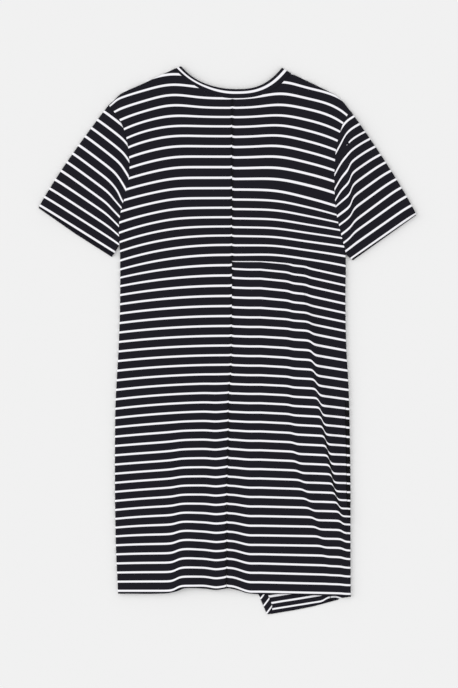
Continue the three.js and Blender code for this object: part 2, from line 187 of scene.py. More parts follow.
neck = {
    "seamLow": (1.4, 845.4), "bandLow": (8.0, 860.9),
    "seamTip": {"left": (-97.9, 895.5), "right": (101.7, 888)},
    "bandTip": {"left": (-86, 900.2), "right": (86, 897.7)},
    "seamBow": {"left": 1.9, "right": 2.9},
    "bandBow": {"left": 2, "right": 2.68},
    # Share of a steeper curve in each line, which lifts the band's left end late
    "steep": {"seam": {"left": 0, "right": 0}, "band": {"left": 0.28, "right": 0}}, "steepBow": 5,
    # Stripe numbers at the band's rim and seam, in the middle and at each end
    "rimMiddle": 0.365, "rimEnd": {"left": 0.43, "right": 0.375},
    "seamMiddle": -0.58, "seamEnd": {"left": -0.46, "right": -0.58}, "turn": (0.5, 0.8),
    "frontDrop": 52.0,
}


# Neck curve on one side, as a power of the way from its lowest point to its tip
def neckCurve(line, side, way, drop=0.0):
    low, tip = neck[line + "Low"], neck[line + "Tip"][side]
    lowUp = low[1] - drop
    bow, steep = neck[line + "Bow"][side], neck["steep"][line][side]
    rise = mix(np.abs(way) ** bow, np.abs(way) ** neck["steepBow"], steep)
    return mix(low[0], tip[0], way), mix(lowUp, tip[1], rise)


waist = {"centre": 568.5, "side": 546.0, "flat": 40.0, "reach": 155.0, "bow": 1.75}


def waistUp(across):
    drop = np.clip((across - waist["flat"]) / waist["reach"], 0, 1)
    return mix(waist["centre"], waist["side"], drop ** waist["bow"])


# Folds of the top layer: ridges from one point to another, with their reach on each side
foldRows = [
    {"name": "right diagonal", "from": (128, 490), "to": (192, 130), "rise": 4.5, "before": 26, "after": 10},
    {"name": "right diagonal, short", "from": (112, 245), "to": (148, 128),
     "rise": 2.5, "before": 16, "after": 10},
    {"name": "hem crest left", "from": (-72, -20), "to": (-66, 230), "rise": 3.5, "before": 22, "after": 26},
    {"name": "hem crest centre", "from": (-2, -20), "to": (-6, 220), "rise": 2.5, "before": 12, "after": 22},
    {"name": "below right armhole", "from": (96, 668), "to": (182, 660),
     "rise": 3, "before": 16, "after": 14},
    {"name": "left sleeve", "from": (-206, 712), "to": (-206, 640), "rise": 2.5, "before": 12, "after": 8},
    {"name": "left cuff", "from": (-262, 690), "to": (-276, 648), "rise": 2, "before": 12, "after": 12},
    {"name": "right sleeve", "from": (205, 800), "to": (201, 600), "rise": 3.5, "before": 10, "after": 18},
]


def foldHeight(fold, x, y):
    x0, y0 = fold["from"]
    dx, dy = fold["to"][0] - x0, fold["to"][1] - y0
    length = math.hypot(dx, dy)
    along = ((x - x0) * dx + (y - y0) * dy) / length ** 2
    beside = ((x - x0) * -dy + (y - y0) * dx) / length
    reach = np.where(beside < 0, fold["before"], fold["after"])
    ends = np.clip(along, 0, 1)
    spread = (beside / reach) ** 2 + (((along - ends) * length) / reach) ** 2
    return fold["rise"] * np.sin(math.pi * mix(0.25, 0.8, ends)) * np.exp(-spread)


def topHeight(x, y):
    return dress["loft"] + sum(foldHeight(fold, x, y) for fold in foldRows)


# Point of a patch between four edges, each a function that gives (across, up)
def patchPoint(edges, u, v):
    corners = [[np.array(edges["bottom"](end)), np.array(edges["top"](end))] for end in (0.0, 1.0)]
    low, high = edges["bottom"](u), edges["top"](u)
    start, end = edges["start"](v), edges["end"](v)
    point = []
    for i in (0, 1):
        flat = ((1 - u) * ((1 - v) * corners[0][0][i] + v * corners[0][1][i])
                + u * ((1 - v) * corners[1][0][i] + v * corners[1][1][i]))
        point.append((1 - v) * low[i] + v * high[i] + (1 - u) * start[i] + u * end[i] - flat)
    return np.stack(point, -1)


# Places along one direction of a patch, each with its turn over the rounded rim
def rimPlaces(inside, length, atStart, atEnd):
    angles = np.radians([90, 72, 54, 38, 24, 12, 0])
    inset = dress["rimRadius"] * (1 - np.sin(angles)) / length
    places = [(place, 0.0, 1.0) for place in inside]
    if atStart:
        places = [(i, math.sin(a), math.cos(a)) for i, a in zip(inset, angles)] + places
    if atEnd:
        places = places + [(1 - i, math.sin(a), math.cos(a)) for i, a in zip(inset[::-1], angles[::-1])]
    return np.array(places)


def evenPlaces(length, step, atStart, atEnd):
    count = max(int(round(length / step)), 2)
    margin = 2.2 * dress["rimRadius"] / length
    return np.linspace(margin if atStart else 0, 1 - margin if atEnd else 1, count)


topSheet = {"inside": -1.0, "seam": dress["rimHeight"] + dress["seamGap"] / 2, "height": topHeight}
underSheet = {"inside": 1.0, "seam": dress["rimHeight"] - dress["seamGap"] / 2,
              "height": lambda x, y: np.zeros_like(x)}


# Outer and inner points of a sheet over a grid of columns and rows, turned down at its rims
def sheetPoints(edges, columns, rows, sheet, columnWeight, rowWeight):
    u, v = np.meshgrid(columns[:, 0], rows[:, 0])
    sinU, cosU = (np.broadcast_to(columns[:, k], u.shape) for k in (1, 2))
    sinV, cosV = (np.broadcast_to(rows[:, k][:, None], u.shape) for k in (1, 2))
    outer = patchPoint(edges, u, v)
    weightU, weightV = columnWeight(u, v), rowWeight(u, v)
    fall = 1 - (1 - (1 - cosU) * weightU) * (1 - (1 - cosV) * weightV)
    step = 0.004

    def inward(du, dv):
        away = patchPoint(edges, u + du, v + dv) - outer
        return away / np.linalg.norm(away, axis=-1, keepdims=True)

    inner = outer + inward(np.where(u > 0.5, -step, step), 0) * (dress["wall"] * sinU * weightU)[..., None]
    inner = inner + inward(0, -step) * (dress["wall"] * sinV * weightV)[..., None]
    high = sheet["height"](outer[..., 0], outer[..., 1])
    low = high + sheet["inside"] * dress["wall"]
    return (np.dstack([outer, mix(high, sheet["seam"], fall)]),
            np.dstack([inner, mix(low, sheet["seam"], fall)]))


# Closed shell between outer and inner points; each point carries its place in the knitted cloth
def shellMesh(name, outer, inner, cloth, loop=False, tuck=None, tuckEnd=0.0, shade=0.0):
    rows, columns = outer.shape[:2]
    count = rows * columns
    points = np.concatenate([outer.reshape(-1, 3), inner.reshape(-1, 3)])
    points[:, 0] += centreLine
    points[:, 1] += hemLine
    points *= mm
    i = np.arange(rows if loop else rows - 1)
    j = np.arange(columns - 1)
    a = (i[:, None] * columns + j[None, :]).ravel()
    d = (((i + 1) % rows)[:, None] * columns + j[None, :]).ravel()
    faces = [np.stack([a, a + 1, d + 1, d], 1), np.stack([a, d, d + 1, a + 1], 1) + count]
    firstRow, nextRow = i * columns, ((i + 1) % rows) * columns
    faces.append(np.stack([firstRow, nextRow, nextRow + count, firstRow + count], 1))
    far = columns - 1
    faces.append(np.stack([nextRow + far, firstRow + far, firstRow + far + count, nextRow + far + count], 1))
    if not loop:
        last = (rows - 1) * columns
        faces.append(np.stack([j + 1, j, j + count, j + 1 + count], 1))
        faces.append(np.stack([last + j, last + j + 1, last + j + 1 + count, last + j + count], 1))
    mesh = bpy.data.meshes.new(name)
    mesh.from_pydata(points.tolist(), [], np.concatenate(faces).tolist())
    places = np.concatenate([cloth.reshape(-1, 2)] * 2)
    uvMap = mesh.uv_layers.new(name="cloth")
    corner = np.empty(len(mesh.loops), dtype=np.int32)
    mesh.loops.foreach_get("vertex_index", corner)
    places = places[corner]
    if tuck:             # the stripe of this number is lost in a fold: no face spans it
        number = places[:, 1].reshape(-1, 4)
        spans = (number.min(1) < tuck) & (number.max(1) > tuck) & (np.ptp(number, axis=1) > 0.35)
        spans &= places[:, 0].reshape(-1, 4).max(1) < tuckEnd
        number[spans] = np.minimum(number[spans], tuck - 0.25)
        places[:, 1] = number.ravel()
    uvMap.data.foreach_set("uv", places.ravel().astype(np.float32))
    # Painted shade of each point, which darkens the cloth's colour in the seams and the fold
    paintedShade = mesh.attributes.new("paintedShade", "FLOAT", "POINT")
    depth = np.broadcast_to(shade, outer.shape[:2]).ravel()
    paintedShade.data.foreach_set("value", np.concatenate([depth, depth]).astype(np.float32))
    mesh.polygons.foreach_set("use_smooth", [True] * len(mesh.polygons))
    mesh.update()
    piece = bpy.data.objects.new(name, mesh)
    bpy.context.collection.objects.link(piece)
    if signedVolume(mesh) < 0:
        mesh.flip_normals()
    return piece


def signedVolume(mesh):
    mesh.calc_loop_triangles()
    corners = np.empty(len(mesh.loop_triangles) * 3, dtype=np.int32)
    mesh.loop_triangles.foreach_get("vertices", corners)
    places = np.empty(len(mesh.vertices) * 3)
    mesh.vertices.foreach_get("co", places)
    a, b, c = (places.reshape(-1, 3)[corners.reshape(-1, 3)[:, k]] for k in range(3))
    return float((a * np.cross(b, c)).sum())


# Soft bump one high, and a ramp that gains one for each millimetre past a place, with a soft start
def hump(x, at, wide):
    return np.exp(-((x - at) / wide) ** 2)


def softRamp(x, at, soft=12.0):
    return (x - at + np.hypot(x - at, soft)) / 2


def softDrop(x, at, soft):
    return (1 + np.tanh((x - at) / soft)) / 2


# White stripes by number: "up" is a stripe's height over the hem beside the centre seam, and the
# other sizes say how the cloth carries it away from there. Those of the left back: how far it
# droops at the side and how late, the swell on the way, the dip beside the seam, the hem's wave
leftStripes = [
    {"stripe": 0, "up": 17, "droop": 0, "lean": 4, "swell": 0, "dip": 3, "wave": 9},
    {"stripe": 5, "up": 93, "droop": 2, "lean": 4, "swell": 2, "dip": 2, "wave": 5},
    {"stripe": 10, "up": 172, "droop": 8, "lean": 2, "swell": 1, "dip": 2, "wave": 2},
    {"stripe": 15, "up": 250.5, "droop": 10, "lean": 1.4, "swell": 1, "dip": 2, "wave": 1},
    {"stripe": 20, "up": 329, "droop": 10, "lean": 2, "swell": 0, "dip": 1, "wave": 0},
    {"stripe": 25, "up": 408.5, "droop": 9, "lean": 2, "swell": 0, "dip": 0, "wave": 0},
    {"stripe": 30, "up": 492, "droop": 12, "lean": 2, "swell": 0, "dip": 0, "wave": 0},
    {"stripe": 33, "up": 544, "droop": 17, "lean": 2, "swell": 0, "dip": 0, "wave": 0},
    {"stripe": 36, "up": 596, "droop": 25, "lean": 2.2, "swell": 0, "dip": 0, "wave": 0},
    {"stripe": 39, "up": 643, "droop": 24, "lean": 2.6, "swell": 1, "dip": 0, "wave": 0},
    {"stripe": 42, "up": 692.5, "droop": 21, "lean": 2.6, "swell": 2, "dip": 0, "wave": 0},
    {"stripe": 45, "up": 746, "droop": 23, "lean": 3, "swell": 2, "dip": 0, "wave": 0},
    {"stripe": 48, "up": 797.5, "droop": 23, "lean": 4, "swell": 2, "dip": 0, "wave": 0},
    {"stripe": 51, "up": 845, "droop": 16, "lean": 4, "swell": 7, "dip": 0, "wave": 0},
    {"stripe": 52, "up": 862.5, "droop": 15, "lean": 4, "swell": 7, "dip": 0, "wave": 0},
    {"stripe": 53, "up": 880, "droop": 18, "lean": 4, "swell": 7.5, "dip": 0, "wave": 0},
    {"stripe": 54, "up": 897.5, "droop": 16, "lean": 4, "swell": 8.5, "dip": 0, "wave": 0},
]
leftCloth = {
    "seam": -7.0, "width": 177.0, "dipAt": -26.0, "dipWide": 14.0, "waveAt": -94.0, "waveSoft": 8.0,
    "swellLow": -72.0, "swellHigh": -104.0, "wideLow": 20.0, "wideHigh": 44.0, "top": 54.0,
}


def leftHeights(row, x):
    cloth = leftCloth
    share = np.clip((cloth["seam"] - x) / cloth["width"], 0, 1.3)
    climb = row["stripe"] / cloth["top"]
    swellAt = mix(cloth["swellLow"], cloth["swellHigh"], climb)
    swellWide = mix(cloth["wideLow"], cloth["wideHigh"], climb)
    return (row["up"] - row["droop"] * share ** row["lean"]
            + row["swell"] * hump(x, swellAt, swellWide)
            - row["dip"] * hump(x, cloth["dipAt"], cloth["dipWide"])
            - row["wave"] * softDrop(-x, -cloth["waveAt"], cloth["waveSoft"]))


# Lower right back: the hem's wave beside the seam, the slope for 100 mm towards the long fold,
# where the short and the long fold cross the stripe and how far it drops in each, how soft the
# long one is, and the slope for 100 mm past it
lowerStripes = [
    {"stripe": 0, "up": 16.5, "wave": 10, "slope": 2, "short": 165, "shortDrop": 0, "fold": 190,
     "foldDrop": 1, "soft": 6, "tail": 0},
    {"stripe": 3, "up": 62.5, "wave": 8, "slope": 3, "short": 163, "shortDrop": 1, "fold": 190,
     "foldDrop": 2, "soft": 6, "tail": 2},
    {"stripe": 5, "up": 93, "wave": 7, "slope": 1.5, "short": 155, "shortDrop": 3, "fold": 190,
     "foldDrop": 4, "soft": 5, "tail": 4},
    {"stripe": 8, "up": 140, "wave": 5, "slope": 2, "short": 141, "shortDrop": 5, "fold": 187,
     "foldDrop": 6, "soft": 4, "tail": 4},
    {"stripe": 10, "up": 171.5, "wave": 4, "slope": 3, "short": 129, "shortDrop": 5, "fold": 182,
     "foldDrop": 10, "soft": 3, "tail": 4},
    {"stripe": 12, "up": 202, "wave": 3, "slope": 3.5, "short": 119, "shortDrop": 4, "fold": 174,
     "foldDrop": 13, "soft": 3, "tail": 6},
    {"stripe": 14, "up": 233.5, "wave": 2.5, "slope": 4, "short": 112, "shortDrop": 4, "fold": 169,
     "foldDrop": 14.5, "soft": 3, "tail": 5},
    {"stripe": 16, "up": 265, "wave": 2, "slope": 4.5, "short": 107, "shortDrop": 3, "fold": 163,
     "foldDrop": 14, "soft": 3, "tail": 6},
    {"stripe": 18, "up": 296.5, "wave": 1.5, "slope": 5, "short": 104, "shortDrop": 2, "fold": 157,
     "foldDrop": 13.5, "soft": 3, "tail": 10},
    {"stripe": 20, "up": 328, "wave": 1, "slope": 5, "short": 100, "shortDrop": 2, "fold": 152,
     "foldDrop": 13, "soft": 3, "tail": 11},
    {"stripe": 22, "up": 359.5, "wave": 1, "slope": 5, "short": 100, "shortDrop": 2, "fold": 146,
     "foldDrop": 11, "soft": 4, "tail": 14},
    {"stripe": 25, "up": 408, "wave": 1, "slope": 6, "short": 100, "shortDrop": 1.5, "fold": 139,
     "foldDrop": 8.5, "soft": 4, "tail": 16},
    {"stripe": 28, "up": 457.5, "wave": 1, "slope": 6, "short": 100, "shortDrop": 1.5, "fold": 134,
     "foldDrop": 4.5, "soft": 5, "tail": 20},
    {"stripe": 30, "up": 490, "wave": 1, "slope": 8, "short": 100, "shortDrop": 2, "fold": 131,
     "foldDrop": 2.5, "soft": 5, "tail": 21},
    {"stripe": 32, "up": 523.5, "wave": 1, "slope": 10, "short": 100, "shortDrop": 2.5, "fold": 129,
     "foldDrop": 2, "soft": 5, "tail": 22},
    {"stripe": 34, "up": 555.5, "wave": 1.5, "slope": 10, "short": 100, "shortDrop": 2.5, "fold": 128,
     "foldDrop": 2, "soft": 5, "tail": 22},
    {"stripe": 35, "up": 568.5, "wave": 0, "slope": 9, "short": 100, "shortDrop": 2.5, "fold": 128,
     "foldDrop": 2, "soft": 5, "tail": 22},
    {"stripe": 38, "up": 612.5, "wave": 0, "slope": 4, "short": 100, "shortDrop": 2, "fold": 128,
     "foldDrop": 2, "soft": 5, "tail": 22},
]
lowerCloth = {"waveFrom": -4.0, "waveReach": 38.0, "slopeFrom": 49.0, "shortSoft": 5.0}


def lowerHeights(row, x):
    cloth = lowerCloth
    slope = row["slope"] * np.clip(x - cloth["slopeFrom"], 0, row["fold"] - cloth["slopeFrom"])
    tail = row["tail"] * np.maximum(x - row["fold"], 0)
    return (row["up"] - row["wave"] * smoothStep((x - cloth["waveFrom"]) / cloth["waveReach"])
            - slope / 100 - row["shortDrop"] * softDrop(x, row["short"], cloth["shortSoft"])
            - row["foldDrop"] * softDrop(x, row["fold"], row["soft"]) - tail / 100)


# Upper right back: the ridge that lifts a stripe, how far it droops at the armhole and how late
upperStripes = [
    {"stripe": 34, "up": 546, "ridge": 2, "droop": 14, "lean": 2.4},
    {"stripe": 36, "up": 579, "ridge": 2, "droop": 17, "lean": 2.2},
    {"stripe": 38, "up": 611, "ridge": 2, "droop": 17, "lean": 1.6},
    {"stripe": 40, "up": 641, "ridge": 2, "droop": 20, "lean": 1.7},
    {"stripe": 42, "up": 673, "ridge": 2, "droop": 28, "lean": 2},
    {"stripe": 43, "up": 690, "ridge": 2.5, "droop": 31, "lean": 2},
    {"stripe": 44, "up": 708, "ridge": 2.5, "droop": 27, "lean": 2.5},
    {"stripe": 46, "up": 744.5, "ridge": 3.5, "droop": 26, "lean": 2.8},
    {"stripe": 48, "up": 779.5, "ridge": 4, "droop": 26, "lean": 3.2},
    {"stripe": 50, "up": 813, "ridge": 4, "droop": 25, "lean": 4},
    {"stripe": 52, "up": 845, "ridge": 8, "droop": 20, "lean": 6},
    {"stripe": 53, "up": 862, "ridge": 11, "droop": 17, "lean": 6},
    {"stripe": 55, "up": 896, "ridge": 13, "droop": 18, "lean": 5},
]
upperCloth = {
    "seam": 3.0, "width": 182.0, "ridgeLow": 72.0, "ridgeHigh": 84.0, "ridgeWide": 40.0,
    "low": 34.0, "high": 52.0,
}


def upperHeights(row, x):
    cloth = upperCloth
    share = np.clip((x - cloth["seam"]) / cloth["width"], 0, 1.3)
    climb = np.clip((row["stripe"] - cloth["low"]) / (cloth["high"] - cloth["low"]), 0, 1)
    ridge = hump(x, mix(cloth["ridgeLow"], cloth["ridgeHigh"], climb), cloth["ridgeWide"])
    return row["up"] - row["droop"] * share ** row["lean"] + row["ridge"] * ridge


# Stripe number at each point: the sizes give every stripe's height across, which is read backwards
def stripeNumber(rows, heightsOf, x, y, reach=(-230.0, 230.0), step=0.5, spacing=2.0):
    first = rows[0]["stripe"]
    numbers = np.arange(first - 1.0, rows[-1]["stripe"] + 0.01, step)
    row = {name: tableReader(rows, "stripe", name, steady=True)(np.maximum(numbers, first))[:, None]
           for name in rows[0]}
    pitch = float(tableReader(rows, "stripe", "up", steady=True)(first + 1.0)) - rows[0]["up"]
    row["up"] = row["up"] + pitch * np.minimum(numbers - first, 0)[:, None]
    xs = np.arange(reach[0], reach[1] + 1, spacing)
    chart = heightsOf(row, xs[None, :])
    column = np.clip((x - xs[0]) / spacing, 0, len(xs) - 1.001)
    lowColumn = column.astype(int)
    part = column - lowColumn
    found = np.zeros(x.shape)
    for k in range(len(numbers) - 1):
        low = mix(chart[k][lowColumn], chart[k][lowColumn + 1], part)
        high = mix(chart[k + 1][lowColumn], chart[k + 1][lowColumn + 1], part)
        inside = (y >= low) | (k == 0)
        found = np.where(inside, numbers[k] + step * (y - low) / (high - low), found)
    return found


def sideLine(side, up):
    gap = outwards[side] * dress["seamGap"] / 2
    return edgeAt[side](up) - np.where(up > dress["underarm"][side], gap, 0), up


def sideWeight(side, up):
    return np.clip(1 - (up - dress["underarm"][side]) / dress["underarmFade"], 0, 1)


# Top edge of a back panel: along the neck, then along the shoulder
def panelTop(side, u, drop=0.0):
    end = abs(float(edgeAt[side](dress["armholeTop"][side])))
    tip, low = neck["seamTip"][side], neck["seamLow"]
    across = mix(low[0], outwards[side] * end, u)
    way = np.clip((across - low[0]) / (tip[0] - low[0]), 0, 1)
    inNeck = np.abs(across) <= abs(tip[0])
    shoulder = shoulderAt[side](np.abs(across))
    return across, np.where(inNeck, neckCurve("seam", side, way, drop)[1] - dress["seamGap"] / 2, shoulder)


# The side seam shows on top at the right, a little in from the edge; beyond it the stripes slip. Painted shade darkens
# the cloth beyond it and a thin line along it
sideSeam = {
    "from": 120.0, "fadeIn": 25.0, "to": 350.0, "fadeOut": 40.0, "inset": 6.4, "depth": 1.3, "wide": 0.5,
    "slip": 0.03, "shade": 0.5, "line": 0.8, "lineWide": 0.6, "step": 0.4,
}
sideSeamRows = [
    {"up": 125, "inset": 1.2}, {"up": 142, "inset": 4}, {"up": 168, "inset": 6.4}, {"up": 350, "inset": 6.4},
]

# The centre seam pulls the stripes up a little; painted shade darkens it beside its stitches, most at the hem
centreSeam = {"pull": 0.05, "reach": 2.6, "shade": 0.42, "hemShade": 0.85, "hemReach": 130.0}

# The left sleeve's head draws the ends of the last stripes down
sleeveHead = {"from": 188.0, "reach": 14.0, "droop": 0.22, "low": 815.0, "height": 22.0}

# Painted shade darkens the long fold at its foot, along the middle of its length
foldShade = {"deepest": 1.0, "reach": 2.7, "from": 128.0, "fadeIn": 40.0, "to": 330.0, "fadeOut": 80.0}


def backPanel(name, side, part):
    out, gap = outwards[side], dress["seamGap"] / 2
    fromUp = waist["side"] if part == "upper" else 0.0
    toUp = waist["side"] if part == "lower" else dress["armholeTop"][side]

    def waistLine(u):
        across = u * float(edgeAt[side](waist["side"]))
        return across, waistUp(across)

    def hemEdge(u):
        across = mix(float(centreAt(0)), float(edgeAt[side](0)), u)
        return across, hemAt(across)

    def bottom(u):
        x, y = waistLine(u) if part == "upper" else hemEdge(u)
        return x + (1 - u) * out * gap, y + (gap if part == "upper" else 0)

    def top(u):
        x, y = waistLine(u) if part == "lower" else panelTop(side, u)
        return x + (1 - u) * out * gap, y - (gap if part == "lower" else 0)

    def start(v):
        up = mix(bottom(0.0)[1], top(0.0)[1], v)
        return centreAt(up) + out * gap, up

    def end(v):
        x, up = sideLine(side, mix(fromUp, toUp, v))
        return x, up + mix(bottom(1.0)[1] - fromUp, top(1.0)[1] - toUp, v)

    edges = {"bottom": bottom, "top": top, "start": start, "end": end}
    length = toUp - fromUp
    inside = evenPlaces(200, dress["gridStep"], False, True)
    inside = np.concatenate([[0, 0.0025, 0.005, 0.0085], inside[1:]])
    if part == "lower":
        fine = evenPlaces(200, dress["gridStep"] / 2, False, True)
        inside = np.concatenate([inside[inside < 0.6], fine[fine > 0.603]])
        seamPlaces = 1 - (sideSeam["inset"] + np.array([1.2, 0.8, 0.4, 0.1, -0.1, -0.4, -0.8, -1.2])) / 200
        inside = np.concatenate([inside[inside < seamPlaces[0] - 0.004], seamPlaces])
    columns = rimPlaces(inside, 200, False, True)
    toShoulder = part != "lower"
    rows = rimPlaces(evenPlaces(length, dress["gridStep"], False, toShoulder), length, False, toShoulder)
    tip = (abs(neck["seamTip"][side][0]) - 6) / abs(float(edgeAt[side](dress["armholeTop"][side])))
    outer, inner = sheetPoints(
        edges, columns, rows, topSheet,
        lambda u, v: sideWeight(side, mix(fromUp, toUp, v)),
        lambda u, v: smoothStep((u - tip) / 0.03))
    x, y = outer[..., 0], outer[..., 1]
    if part == "lower":
        inset = (1 - columns[:, 0][None, :]) * 200 - lineReader(sideSeamRows, "up", "inset")(y)
        shown = smoothStep((y - sideSeam["from"]) / sideSeam["fadeIn"])
        shown = shown * smoothStep((sideSeam["to"] - y) / sideSeam["fadeOut"])
        valley = sideSeam["depth"] * shown * hump(inset, 0.0, sideSeam["wide"])
        outer[..., 2] -= valley
        inner[..., 2] -= valley
    fromCentre = hump(x, centreAt(y), centreSeam["reach"])
    # Painted shade beside the centre seam
    shade = fromCentre * centreSeam["shade"]
    if side == "left":
        number = stripeNumber(leftStripes, leftHeights, x, y)
        drawn = np.clip((-x - sleeveHead["from"]) / sleeveHead["reach"], 0, 1.5) ** 2
        number += sleeveHead["droop"] * drawn * np.clip((y - sleeveHead["low"]) / sleeveHead["height"], 0, 1)
    elif part == "lower":
        number = stripeNumber(lowerStripes, lowerHeights, x, y)
        # Painted shade beyond the side seam and along its line
        beyond = shown * smoothStep(0.5 - inset / sideSeam["step"])
        seamLineShade = sideSeam["line"] * shown * hump(inset, 0.0, sideSeam["lineWide"])
        number += sideSeam["slip"] * beyond
        # Painted shade at the long fold's foot
        foldX = tableReader(lowerStripes, "stripe", "fold", steady=True)(number)
        deep = smoothStep((y - foldShade["from"]) / foldShade["fadeIn"])
        deep = deep * smoothStep((foldShade["to"] - y) / foldShade["fadeOut"])
        inFold = foldShade["deepest"] * deep * hump(x, foldX, foldShade["reach"])
        shade = np.maximum.reduce([shade, sideSeam["shade"] * beyond, seamLineShade, inFold])
    else:
        number = stripeNumber(upperStripes, upperHeights, x, y)
    # More painted shade at the centre seam near the hem
    if part != "upper":
        nearHem = np.clip(1 - y / centreSeam["hemReach"], 0, 1)
        shade = np.maximum(shade, centreSeam["hemShade"] * nearHem * fromCentre ** 3)
    number -= centreSeam["pull"] * fromCentre
    return shellMesh(name, outer, inner, np.dstack([x * mm, number]), shade=shade)


# Front panel: flat on the table, plain, with the low corner at its right
frontHemRows = [
    {"across": -192, "up": 5}, {"across": -100, "up": 7}, {"across": -84, "up": 14.5},
    {"across": -3, "up": 14}, {"across": 20, "up": 9}, {"across": 44.8, "up": 4},
    {"across": 60.3, "up": -32.3}, {"across": 67.3, "up": -32.1},
    {"across": 108.8, "up": -25.2}, {"across": 139, "up": -19.1}, {"across": 182.8, "up": -7.4},
    {"across": 185, "up": -5.4}, {"across": 202.6, "up": -2.6},
]

# Stripes of the front; only those of the low corner show: "up" is their height at its left end,
# and "fall" is how far they come down again at the right
frontStripes = [
    {"stripe": 0, "up": -38, "fall": 9}, {"stripe": 1, "up": -25, "fall": 12},
    {"stripe": 2, "up": -14.5, "fall": 8}, {"stripe": 3, "up": -3, "fall": 5},
    {"stripe": 4, "up": 12, "fall": 5}, {"stripe": 10, "up": 110, "fall": 3},
    {"stripe": 55, "up": 868, "fall": 0},
]
frontCloth = {
    "low": 61.0, "slope": 0.16, "jumpFrom": 152.0, "jumpReach": 14.0, "jump": 4.5, "fallFrom": 173.0,
    "fallReach": 30.0, "edgeFrom": 62.0, "edgeReach": 16.0, "edgeRise": 23.0,
}


def frontHeights(row, x):
    cloth = frontCloth
    climb = cloth["slope"] * np.clip(x - cloth["low"], 0, None)
    jump = cloth["jump"] * smoothStep((x - cloth["jumpFrom"]) / cloth["jumpReach"])
    edge = cloth["edgeRise"] * smoothStep((cloth["edgeFrom"] - x) / cloth["edgeReach"])
    fall = row["fall"] * smoothStep((x - cloth["fallFrom"]) / cloth["fallReach"])
    return row["up"] + climb + jump + edge - fall


# The corner's stripes keep their width where the cloth tilts, and painted shade darkens one short dip
cornerStripe = {"half": 0.16, "lowHalf": 0.125, "below": 14.0, "fade": 8.0, "lowest": 1.5}
cornerDip = {"at": 168.5, "wide": 2.2, "shade": 0.9}


# Straight lines between the rows of a table
def lineReader(rows, key, name):
    return lambda place: np.interp(place, [row[key] for row in rows], [row[name] for row in rows])


def frontNumber(x, y):
    number = stripeNumber(frontStripes, frontHeights, x, y)
    half = np.where(number < cornerStripe["lowest"], cornerStripe["lowHalf"], cornerStripe["half"])
    half = mix(jersey["stripeHalf"], half, np.clip((cornerStripe["below"] - y) / cornerStripe["fade"], 0, 1))
    away = np.abs(number - np.round(number))
    wide = np.where(away < half, away * jersey["stripeHalf"] / half,
                    0.5 - (0.5 - away) * (0.5 - jersey["stripeHalf"]) / (0.5 - half))
    return np.round(number) + np.sign(number - np.round(number)) * wide


def frontPanel():
    ends = {side: float(edgeAt[side](dress["armholeTop"][side])) for side in outwards}

    def top(u):
        across = mix(ends["left"], ends["right"], u)
        middle = neck["seamLow"][0]
        left = panelTop("left", (across - middle) / (ends["left"] - middle), neck["frontDrop"])
        right = panelTop("right", (across - middle) / (ends["right"] - middle), neck["frontDrop"])
        return across, np.where(across < neck["seamLow"][0], left[1], right[1])

    startX, endX = float(edgeAt["left"](0)), float(edgeAt["right"](0))
    hemLineAt = lineReader(frontHemRows, "across", "up")

    # The corner's left edge is steep, so it takes more of the panel's columns
    corner = [row["across"] for row in frontHemRows if row["up"] in (4, -32.3)]
    shares = [(corner[0] - startX) / (endX - startX) - 0.02, (corner[1] - startX) / (endX - startX) + 0.02]

    def bottom(u):
        across = np.interp(u, [0, *shares, 1], [startX, *corner, endX])
        return across, hemLineAt(across)

    def side(name, v):
        split = dress["underarm"]["left"] / dress["armholeTop"]["left"]
        low, high = dress["underarm"][name], dress["armholeTop"][name]
        up = np.where(v < split, v / split * low, mix(low, high, (v - split) / (1 - split)))
        x, up = sideLine(name, up)
        u = 0.0 if name == "left" else 1.0
        return x, up + mix(bottom(u)[1], top(u)[1] - high, v), up

    edges = {"bottom": bottom, "top": top,
             "start": lambda v: side("left", v)[:2], "end": lambda v: side("right", v)[:2]}
    columns = rimPlaces(evenPlaces(400, 4, True, True), 400, True, True)
    inside = evenPlaces(832, 5, False, True)
    rows = rimPlaces(np.concatenate([np.linspace(0, 0.06, 40), inside[inside > 0.063]]), 832, False, True)
    wide = ends["right"] - ends["left"]
    shoulders = [(neck["seamTip"][name][0] - ends["left"]) / wide for name in outwards]
    outer, inner = sheetPoints(
        edges, columns, rows, underSheet,
        lambda u, v: np.where(
            u < 0.5, sideWeight("left", side("left", v)[2]), sideWeight("right", side("right", v)[2])),
        lambda u, v: np.maximum(
            smoothStep((shoulders[0] - u) / 0.015 + 1), smoothStep((u - shoulders[1]) / 0.015 + 1)))
    x, y = outer[..., 0], outer[..., 1]
    number = frontNumber(x, y)
    # Painted shade in the corner's short dip
    shade = cornerDip["shade"] * hump(x, cornerDip["at"], cornerDip["wide"]) * (y < 0)
    return shellMesh("frontCloth", outer, inner, np.dstack([x * mm, number]), shade=shade)


# A cuff's ends, where its top layer stops short of that line, and how far the layer below shows
cuff = {
    "left": {"outer": (-326.6, 662.2), "inner": (-201.5, 578.3),
             "topStop": (0.6, -4.4), "below": (3.6, 5.2, 3.4)},
    "right": {"outer": (314.3, 648.0), "inner": (205.0, 571.2),
              "topStop": (-0.3, -1.4), "below": (0.9, 1.4, 1.9)},
}

